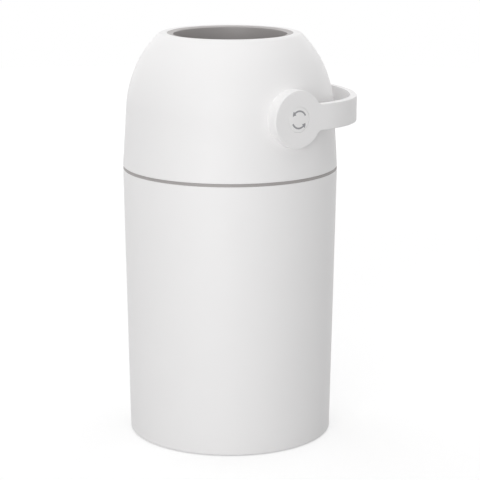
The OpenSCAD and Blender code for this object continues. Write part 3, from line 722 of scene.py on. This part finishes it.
class NAPPYBIN_OT_collar(bpy.types.Operator):
    """Make the grey collar that lines the mouth"""

    bl_idname = "nappybin.collar"
    bl_label = "Collar"

    def execute(self, context):
        """Chamfered rim, tube and seal carrier as one outline turned about Z, with four screw
        ears."""
        v = settings("head")
        ears = [self.ear(v, x, y) for x, y, _, _ in screw_boxes("collar_screws")]
        make("collar_ring", [revolved(self.outline(v)), *ears], "head", "collar_grey", ["collar"])
        return {"FINISHED"}

    def outline(self, v):
        """Outline of the collar, from its chamfer down its outside and up the mouth's wall."""
        rim, tube = v.mouth_r + v.rim_w, v.mouth_r + v.collar_wall
        flange_z1 = DOME_Z1 - v.wall - FIT_GAP
        flange_ro, flange_z0 = rim + v.flange_w, flange_z1 - v.collar_wall
        seal_r, seat = high("upper_seal")[0], high("upper_seal")[2]
        out, shelf = seal_r + v.seal_wall, seat + v.collar_wall
        lip_r, lip_z = seal_r - v.seal_lip_w, seat - v.seal_lip_z
        return rounded([
            (v.mouth_r, DOME_Z1 - v.rim_drop, 0.7 * MM), (rim, DOME_Z1, 0.5 * MM),
            (rim, flange_z1, 0), (flange_ro, flange_z1, 0.4 * MM),
            (flange_ro, flange_z0, 0.4 * MM), (tube, flange_z0, 1 * MM), (tube, shelf, 1 * MM),
            (out, shelf, 0.6 * MM), (out, COLLAR_Z0, 0.6 * MM), (lip_r, COLLAR_Z0, 0.4 * MM),
            (lip_r, lip_z, 0.2 * MM), (seal_r + FIT_GAP, lip_z, 0), (seal_r + FIT_GAP, seat, 0),
            (v.mouth_r, seat, 0.5 * MM),
        ])

    def ear(self, v, x, y):
        """A screw's ear: a slab out along X from inside the tube's wall, turned to face the
        screw at (x, y)."""
        tube, top, half = v.mouth_r + v.collar_wall, ear_top(), v.ear_half
        points, faces = slab((tube - PAST, -half, top - v.ear_t),
                             (math.hypot(x, y) + half, half, top), 1 * MM)
        a = math.atan2(y, x)
        turn = np.array([[math.cos(a), math.sin(a), 0], [-math.sin(a), math.cos(a), 0], [0, 0, 1]])
        return points @ turn, faces


def pan_screw(head_r, head_h, shank_r, long):
    """Pan-head screw pointing down from z = 0 under its head. The outline of head, shank and tip is
    turned about Z, and the head's top sinks by a depth times a cross-shaped mask. The numbers are
    shares of the head's radius and height."""
    inner = np.linspace(0, 0.7, 12)
    top = np.column_stack((head_r * inner, head_h * np.sqrt(1 - 0.35 * inner ** 2)))
    rim = arc(head_r * 0.82, head_h * 0.62, head_r * 0.18, math.radians(70), 0, 6)
    rest = [(head_r, 0), (shank_r, 0), (shank_r, -long + shank_r), (0, -long)]
    points, faces = revolved(np.concatenate((top, rim, rest)), turns=48)
    x, y, z = np.abs(points[:, 0]), np.abs(points[:, 1]), points[:, 2]
    wide, far, soft = 0.13 * head_r, 0.56 * head_r, 0.1 * head_r

    def bar(a, b):
        """One bar of the cross: 1 near its middle line, and 0 past its half width and length."""
        return np.clip((wide - a) / soft + 0.5, 0, 1) * np.clip((far - b) / soft, 0, 1)

    points[:, 2] -= 0.6 * head_h * np.maximum(bar(x, y), bar(y, x)) * (z > 0.5 * head_h)
    return points, faces


class NAPPYBIN_OT_screws(bpy.types.Operator):
    """Make the cross-head screws of the collar, head, seal retainer and drum"""

    bl_idname = "nappybin.screws"
    bl_label = "Screws"

    def execute(self, context):
        """Each node's screws point up or down from where its CAD heads sit."""
        for node, s in SCREWS.items():
            parts = []
            for x, y, z0, z1 in screw_boxes(node):
                p, f = pan_screw(s.head_r, s.head_h, s.shank_r, z1 - z0 - s.head_h)
                p = p * np.array([1, 1, -1 if s.points_up else 1])
                under = z0 + s.head_h if s.points_up else z1 - s.head_h
                parts.append(moved((p, f), x, y, under))
            make(node.replace("screws", "cross_screws"), parts, s.body, "steel", [node])
        return {"FINISHED"}


class NAPPYBIN_OT_cup(bpy.types.Operator):
    """Make the cup inside the drum: a tube and the round bottom that laps round its lower end"""

    bl_idname = "nappybin.cup"
    bl_label = "Cup"

    def execute(self, context):
        """Both are closed outlines turned about Z, drawn about the axle's height."""
        v = settings("drum")
        up = np.array([0, PIVOT_Z])
        make("cup_wall", [revolved(self.tube(v) + up)], "drum", "cup_grey", ["cup_tube"])
        make("cup_bottom", [revolved(self.bowl(v) + up)], "drum", "cup_grey", ["drum_cup"])
        return {"FINISHED"}

    def tube(self, v):
        """Outline of the tube, which ends on the ball's surface and has a snap ridge outside."""
        ro, joint = v.cup_r + v.cup_wall, low("cup_tube")[2] - PIVOT_Z
        rim_in, rim_out = (math.sqrt(BALL_R ** 2 - r ** 2) for r in (v.cup_r, ro))
        snap = rim_out - v.snap_down
        return rounded([
            (v.cup_r, joint, 0.15 * MM), (v.cup_r, rim_in, 0.7 * MM), (ro, rim_out, 0.6 * MM),
            (ro, snap, 0), (ro + v.snap, snap, 0.3 * MM), (ro, snap - v.snap_h, 0),
            (ro, joint, 0.3 * MM),
        ])

    def bowl(self, v):
        """Outline of the round bottom. Its fillet touches the wall's line and the bottom's circle,
        so its centre is at the wall's radius less its own, and at the bottom's radius less its own
        from the axle's height."""
        f, joint = v.cup_fillet, low("cup_tube")[2] - PIVOT_Z
        cx, reach = v.cup_r - f, v.cup_bottom - f
        cz = -math.sqrt(reach ** 2 - cx ** 2)
        turn = math.atan2(cz, cx)
        top = high("drum_cup")[2] - PIVOT_Z
        lap_ri = v.cup_r + v.cup_wall + FIT_GAP
        lap_ro = lap_ri + v.lap_wall
        bottom_ro = v.cup_bottom + v.cup_wall
        inside = np.concatenate((arc(0, 0, v.cup_bottom, -math.pi / 2, turn, 28),
                                 arc(cx, cz, f, turn, 0)[1:]))
        outside = arc(0, 0, bottom_ro, -math.acos(lap_ro / bottom_ro), -math.pi / 2, 28)
        edge = rounded([
            (*inside[-1], 0), (v.cup_r, joint, 0.15 * MM), (lap_ri, joint, 0),
            (lap_ri, top, 0.3 * MM), (lap_ro, top, 0.4 * MM), (*outside[0], 0),
        ])[1:-1]
        return np.concatenate((inside, edge, outside))


class NAPPYBIN_OT_handle(bpy.types.Operator):
    """Make the handle: a bent strap with a round end on each side"""

    bl_idname = "nappybin.handle"
    bl_label = "Handle"

    def execute(self, context):
        """The handle is a bent plate with a stop lug behind each round end, and a square hole and
        recesses for the washer and the hub cap in each."""
        v = settings("grip")
        back_x = FACE_X - v.thick
        lug = revolved(rounded([(0, 0, 0), (v.lug_r, 0, 0.3 * MM), (v.lug_r, v.lug_out + PAST, 0),
                                (0, v.lug_out + PAST, 0)], 4), turns=32)
        lug = moved(lug, v.lug_at, 0, back_x - v.lug_out)
        piece = make("handle_strap", [self.plate(v), on_axle(lug, 1), on_axle(lug, -1)], "drum",
                     "white_shell", ["handle"])
        beyond = FACE_X + PAST
        half = v.square / 2 + FIT_GAP
        cap = rod(CAP_R + FIT_GAP, CAP_X, beyond)
        washer = rod(v.washer_r, high("handle_washers")[0] - v.washer_t, beyond)
        square = slab((-half, -half, back_x - PAST), (half, half, beyond), 0.2 * MM)
        cut(piece, *(on_axle(tool, side) for tool in (cap, washer, square) for side in (1, -1)))
        return {"FINISHED"}

    def outline(self, v, total):
        """Upper half of the plate's outline, as points (s, h) and their outward normals (ns, nh),
        with s the length along the strap and h the height: a circle about the first hub, a fillet
        and a straight strap up to the middle, and the same mirrored."""
        up = v.strap_h / 2 + v.web_r
        along = math.sqrt((DISC_R + v.web_r) ** 2 - up ** 2)
        a = math.atan2(up, along)
        disc = np.linspace(math.pi, a, 80)
        fillet = np.linspace(a + math.pi, 1.5 * math.pi, 14)[1:]
        strap = np.linspace(along, total / 2, 90)[1:]
        s = np.concatenate((DISC_R * np.cos(disc), along + v.web_r * np.cos(fillet), strap))
        h = np.concatenate((DISC_R * np.sin(disc), up + v.web_r * np.sin(fillet),
                            np.full(len(strap), v.strap_h / 2)))
        ns = np.concatenate((np.cos(disc), -np.cos(fillet), np.zeros(len(strap))))
        nh = np.concatenate((np.sin(disc), -np.sin(fillet), np.ones(len(strap))))
        s = np.concatenate((s, total - s[-2::-1]))
        ns = np.concatenate((ns, -ns[-2::-1]))
        h, nh = (np.concatenate((x, x[-2::-1])) for x in (h, nh))
        return s, h, ns, nh

    def plate(self, v):
        """Flat plate bent round in plan. At each point of its outline a loop goes round the
        plate's thickness, with edges rounded by insetting the outline along its own normal. The
        plate thickens toward each hub."""
        total = 2 * self.half_length()
        s, h, ns, nh = self.outline(v, total)
        q = np.radians(np.linspace(0, 90, 6))
        outer, inner = v.edge * (1 - np.sin(q)), v.back_edge * (1 - np.sin(q[::-1]))
        inset = np.concatenate((outer, inner))
        from_hub = np.minimum(s, total - s)
        near = np.clip((DISC_R + 2 * v.web_r - from_hub) / (2 * v.web_r), 0, 1)
        back = (v.thick + v.pad * near)[:, None]
        depth = np.concatenate((np.tile(v.edge * (1 - np.cos(q)), (len(s), 1)),
                                back - v.back_edge * (1 - np.cos(q[::-1]))), 1)
        es = s[:, None] - inset * ns[:, None]
        eh = np.maximum(h[:, None] - inset * nh[:, None], 0)
        share = np.linspace(1, -1, 10)[1:-1]
        ladder = np.repeat(es[:, :1], len(share), 1)
        loop_s = np.concatenate((es, ladder, es[:, ::-1], ladder), 1)
        loop_h = np.concatenate((eh, eh[:, -1:] * share, -eh[:, ::-1], eh[:, :1] * -share), 1)
        deep = np.repeat(back, len(share), 1)
        loop_d = np.concatenate((depth, deep, depth[:, ::-1], 0 * deep), 1)
        x, y = self.bent(loop_s, loop_d, total)
        points = np.stack((x, y, loop_h + PIVOT_Z), -1)
        return points.reshape(-1, 3), grid(*loop_s.shape, False, True)

    def corners(self):
        """Centre of the corner arc, and radius, centre and joining angle of the back arc, which
        touches both corner arcs and the strap's furthest reach."""
        v = settings("grip")
        x = FACE_X - v.corner_r
        far = REACH - v.arm
        radius = (x ** 2 + far ** 2 - v.corner_r ** 2) / (2 * (far - v.corner_r))
        y = REACH - radius
        return x, radius, y, math.atan2(v.arm - y, x)

    def half_length(self):
        """Length of the strap's outer face from a hub to the middle of its back."""
        v = settings("grip")
        _, radius, _, join = self.corners()
        return v.arm + v.corner_r * join + radius * (math.pi / 2 - join)

    def bent(self, s, depth, total):
        """Plan position of points at length s and a depth below the outer face: straight to the end
        of the arm, round the corner's arc, round the back's arc, and the same mirrored."""
        v = settings("grip")
        cx, radius, cy, join = self.corners()
        side = np.where(s > total / 2, -1, 1)
        s = np.minimum(s, total - s)
        corner = np.clip((s - v.arm) / v.corner_r, 0, join)
        back = np.clip((s - v.arm - v.corner_r * join) / radius, 0, None)
        a = corner + back
        r = np.where(back > 0, radius, v.corner_r) - depth
        x = np.where(back > 0, 0, cx) + r * np.cos(a)
        y = np.where(back > 0, cy, v.arm) + r * np.sin(a) + np.minimum(s - v.arm, 0)
        return side * x, y


class NAPPYBIN_OT_caps(bpy.types.Operator):
    """Make the hub caps with a mark that shows which way the drum turns"""

    bl_idname = "nappybin.caps"
    bl_label = "Hub caps"

    def execute(self, context):
        """A cap is a flat disc with a rounded edge. The mark is two arrows that chase each other
        round a circle, each a thin band ending in a triangle."""
        v = settings("grip")
        face = FACE_X - v.cap_sink
        outline = rounded([(0, face, 0), (0, CAP_X, 0), (CAP_R, CAP_X, 0.2 * MM),
                           (CAP_R, face, v.cap_edge)])
        for side, word in ((1, "right"), (-1, "left")):
            make("hub_disc_" + word, [on_axle(revolved(outline, turns=128), side)], "drum",
                 "white_shell", ["hub_cap_" + word])
            arrows = [on_axle(self.arrow(v, turn, face), side) for turn in (0, math.pi)]
            make("turn_mark_" + word, arrows, "drum", "white_shell", look="mark")
        return {"FINISHED"}

    def arrow(self, v, turn, face):
        """Band round part of a circle, from 25 degrees over 130, which widens at once at its neck
        to the arrow head and then falls to nothing at the tip. It is a thin closed plate, sunk in
        the cap's face."""
        neck, head = 0.78, 1.7
        u = np.linspace(0, 1, 60)
        a = turn + np.radians(25 + 130 * u)
        half = v.mark_w * np.where(u < neck, 0.5, head * (1 - u) / (1 - neck))
        lo, hi = face - 0.05 * MM, FACE_X - 0.01 * MM
        ring = np.array([(-1, lo), (1, lo), (1, hi), (-1, hi)])
        r = v.mark_r + ring[:, 0] * half[:, None]
        points = np.stack([r * np.cos(a)[:, None], r * np.sin(a)[:, None],
                           np.broadcast_to(ring[:, 1], r.shape)], -1)
        tail, tip = (points[i:i + 1].mean(1, keepdims=True).repeat(4, 1) for i in (0, len(u) - 1))
        points = np.concatenate((tail, points, tip))
        return points.reshape(-1, 3), grid(len(points), len(ring), False, True)


class NAPPYBIN_OT_frame(bpy.types.Operator):
    """Give the CAD pieces that stay their finishes"""

    bl_idname = "nappybin.frame"
    bl_label = "Frame pieces"

    def execute(self, context):
        """These pieces have their right shape in the frame."""
        dress("ring_grey", "bag_ring", "seal_retainer")
        dress("white_inner", "head_base", "drum_upper_shell", "drum_lower_shell")
        dress("bearing_plastic", "bush_right", "bush_left", "axle_right", "axle_left")
        dress("rubber", "seam_gasket", "upper_seal", "lower_seal", "axle_o_rings")
        dress("steel", "axle_nuts", "handle_washers", "handle_screws")
        return {"FINISHED"}


class NAPPYBIN_OT_stage(bpy.types.Operator):
    """Make the floor, the lights and the camera"""

    bl_idname = "nappybin.stage"
    bl_label = "Stage"

    def execute(self, context):
        """White floor and white air for the camera, with soft light from the front left, from
        above and from both sides behind."""
        v = settings("stage")
        scene = context.scene
        scene.view_settings.view_transform = "Standard"
        floor = self.floor()
        self.world(v.sky)
        self.lamp("key", v.key, v.azimuth - v.key_side, v.key_up, size=1.2, away=2.5)
        self.lamp("top", v.top, v.azimuth, math.pi / 2, size=2, away=1.6)
        for side in (-1, 1):
            self.lamp("rear", v.rear, v.azimuth + side * v.rear_side, v.rear_up, size=2, away=2.5)
        camera = bpy.data.objects.new("camera", bpy.data.cameras.new("camera"))
        scene.collection.objects.link(camera)
        camera.location = (v.away * math.sin(v.azimuth), -v.away * math.cos(v.azimuth), v.up)
        camera.rotation_euler = (math.pi / 2 - v.pitch, 0, v.azimuth)
        camera.data.lens = v.lens
        camera.data.sensor_width = 36
        camera.data.shift_x = v.shift
        scene.camera = camera
        return {"FINISHED"}

    def floor(self):
        """Round sheet of paper that the bin stands on, 6 m across."""
        radius, sides = 3, 64
        a = np.linspace(0, 2 * math.pi, sides, endpoint=False)
        points = np.column_stack((radius * np.cos(a), radius * np.sin(a), np.zeros(sides)))
        mesh = bpy.data.meshes.new("floor")
        mesh.from_pydata(points.tolist(), [], [list(range(sides))])
        mesh.materials.append(self.paper())
        floor = bpy.data.objects.new("floor", mesh)
        bpy.context.scene.collection.objects.link(floor)
        return floor

    def seen(self, tree):
        """1 for a ray from the camera, a glossy surface or a clear one."""
        path = add(tree, "ShaderNodeLightPath").outputs
        seen = path["Is Camera Ray"]
        for ray in ("Is Glossy Ray", "Is Transmission Ray"):
            either = add(tree, "ShaderNodeMath", {0: seen, 1: path[ray]}, operation="MAXIMUM")
            seen = either.outputs[0]
        return seen

    def paper(self):
        """Matt white paper. A glow that is seen, and casts no light on the bin, lifts it to white
        and keeps the bin's shadow."""
        material = bpy.data.materials.new("matt white paper")
        tree = emptied(material)
        place = add(tree, "ShaderNodeTexCoord").outputs["Object"]
        fibre = add(tree, "ShaderNodeTexNoise", {"Vector": place, "Scale": 900, "Detail": 2})
        bump = add(tree, "ShaderNodeBump", {"Height": fibre.outputs["Fac"], "Distance": 0.02 * MM})
        matt = add(tree, "ShaderNodeBsdfDiffuse", {"Color": (*linear("#CBCBCB"), 1),
                                                   "Normal": bump.outputs["Normal"]})
        # The lamps light the sheet's edge less, so the glow grows toward it.
        reach = add(tree, "ShaderNodeVectorMath", {0: place}, operation="LENGTH").outputs["Value"]
        fill = add(tree, "ShaderNodeMapRange", {"Value": reach, "From Min": 1, "From Max": 2.8,
                                                "To Min": 0.5, "To Max": 0.74})
        glow = add(tree, "ShaderNodeEmission", {"Color": (1, 1, 1, 1),
                                                "Strength": fill.outputs["Result"]})
        lit = add(tree, "ShaderNodeAddShader", {0: matt.outputs[0], 1: glow.outputs[0]})
        both = add(tree, "ShaderNodeMixShader", {0: self.seen(tree), 1: matt.outputs[0],
                                                 2: lit.outputs[0]})
        add(tree, "ShaderNodeOutputMaterial", {"Surface": both.outputs[0]})
        return material

    def world(self, strength):
        """Even light all round, white to the camera."""
        world = bpy.data.worlds.new("studio")
        tree = emptied(world)
        light = add(tree, "ShaderNodeBackground", {"Color": (1, 1, 1, 1), "Strength": strength})
        white = add(tree, "ShaderNodeBackground", {"Color": (1, 1, 1, 1), "Strength": 1})
        both = add(tree, "ShaderNodeMixShader", {0: self.seen(tree), 1: light.outputs[0],
                                                 2: white.outputs[0]})
        add(tree, "ShaderNodeOutputWorld", {"Surface": both.outputs[0]})
        bpy.context.scene.world = world

    def lamp(self, name, power, azimuth, elevation, size, away):
        """Square soft light at an azimuth and elevation, some metres away and turned to the bin's
        middle."""
        data = bpy.data.lights.new(name, "AREA")
        data.energy, data.size = power, size
        lamp = bpy.data.objects.new(name, data)
        out = away * math.cos(elevation)
        lamp.location = (out * math.sin(azimuth), -out * math.cos(azimuth),
                         DOME_Z1 / 2 + away * math.sin(elevation))
        lamp.rotation_euler = (math.pi / 2 - elevation, 0, azimuth)
        bpy.context.scene.collection.objects.link(lamp)


class NAPPYBIN_PT_panel(bpy.types.Panel):
    """Sizes, colours and pieces of the nappy bin"""

    bl_idname = "NAPPYBIN_PT_panel"
    bl_label = "Nappy Bin"
    bl_space_type = "VIEW_3D"
    bl_region_type = "UI"
    bl_category = "Nappy Bin"

    def draw(self, context):
        """One box for each group of values, and one button for each operator."""
        for group, kind in GROUPS.items():
            box = self.layout.box()
            box.label(text=kind.__doc__)
            values = settings(group)
            for name in kind.__annotations__:
                box.prop(values, name)
        for operator in OPERATORS:
            self.layout.operator(operator.bl_idname)


OPERATORS = [NAPPYBIN_OT_frame, NAPPYBIN_OT_bin, NAPPYBIN_OT_dome, NAPPYBIN_OT_collar,
             NAPPYBIN_OT_screws, NAPPYBIN_OT_cup, NAPPYBIN_OT_handle, NAPPYBIN_OT_caps,
             NAPPYBIN_OT_stage]


def register():
    """Registers every class and puts the groups of values on the scene."""
    for kind in [*GROUPS.values(), *OPERATORS, NAPPYBIN_PT_panel]:
        bpy.utils.register_class(kind)
    for group, kind in GROUPS.items():
        setattr(bpy.types.Scene, "nappy_" + group, bpy.props.PointerProperty(type=kind))


def unregister():
    """Takes the groups of values off the scene and unregisters every class."""
    for group in GROUPS:
        delattr(bpy.types.Scene, "nappy_" + group)
    for kind in reversed([*GROUPS.values(), *OPERATORS, NAPPYBIN_PT_panel]):
        bpy.utils.unregister_class(kind)


def main():
    register()
    for operator in OPERATORS:
        group, name = operator.bl_idname.split(".")
        getattr(getattr(bpy.ops, group), name)()


if __name__ == "__main__":
    main()
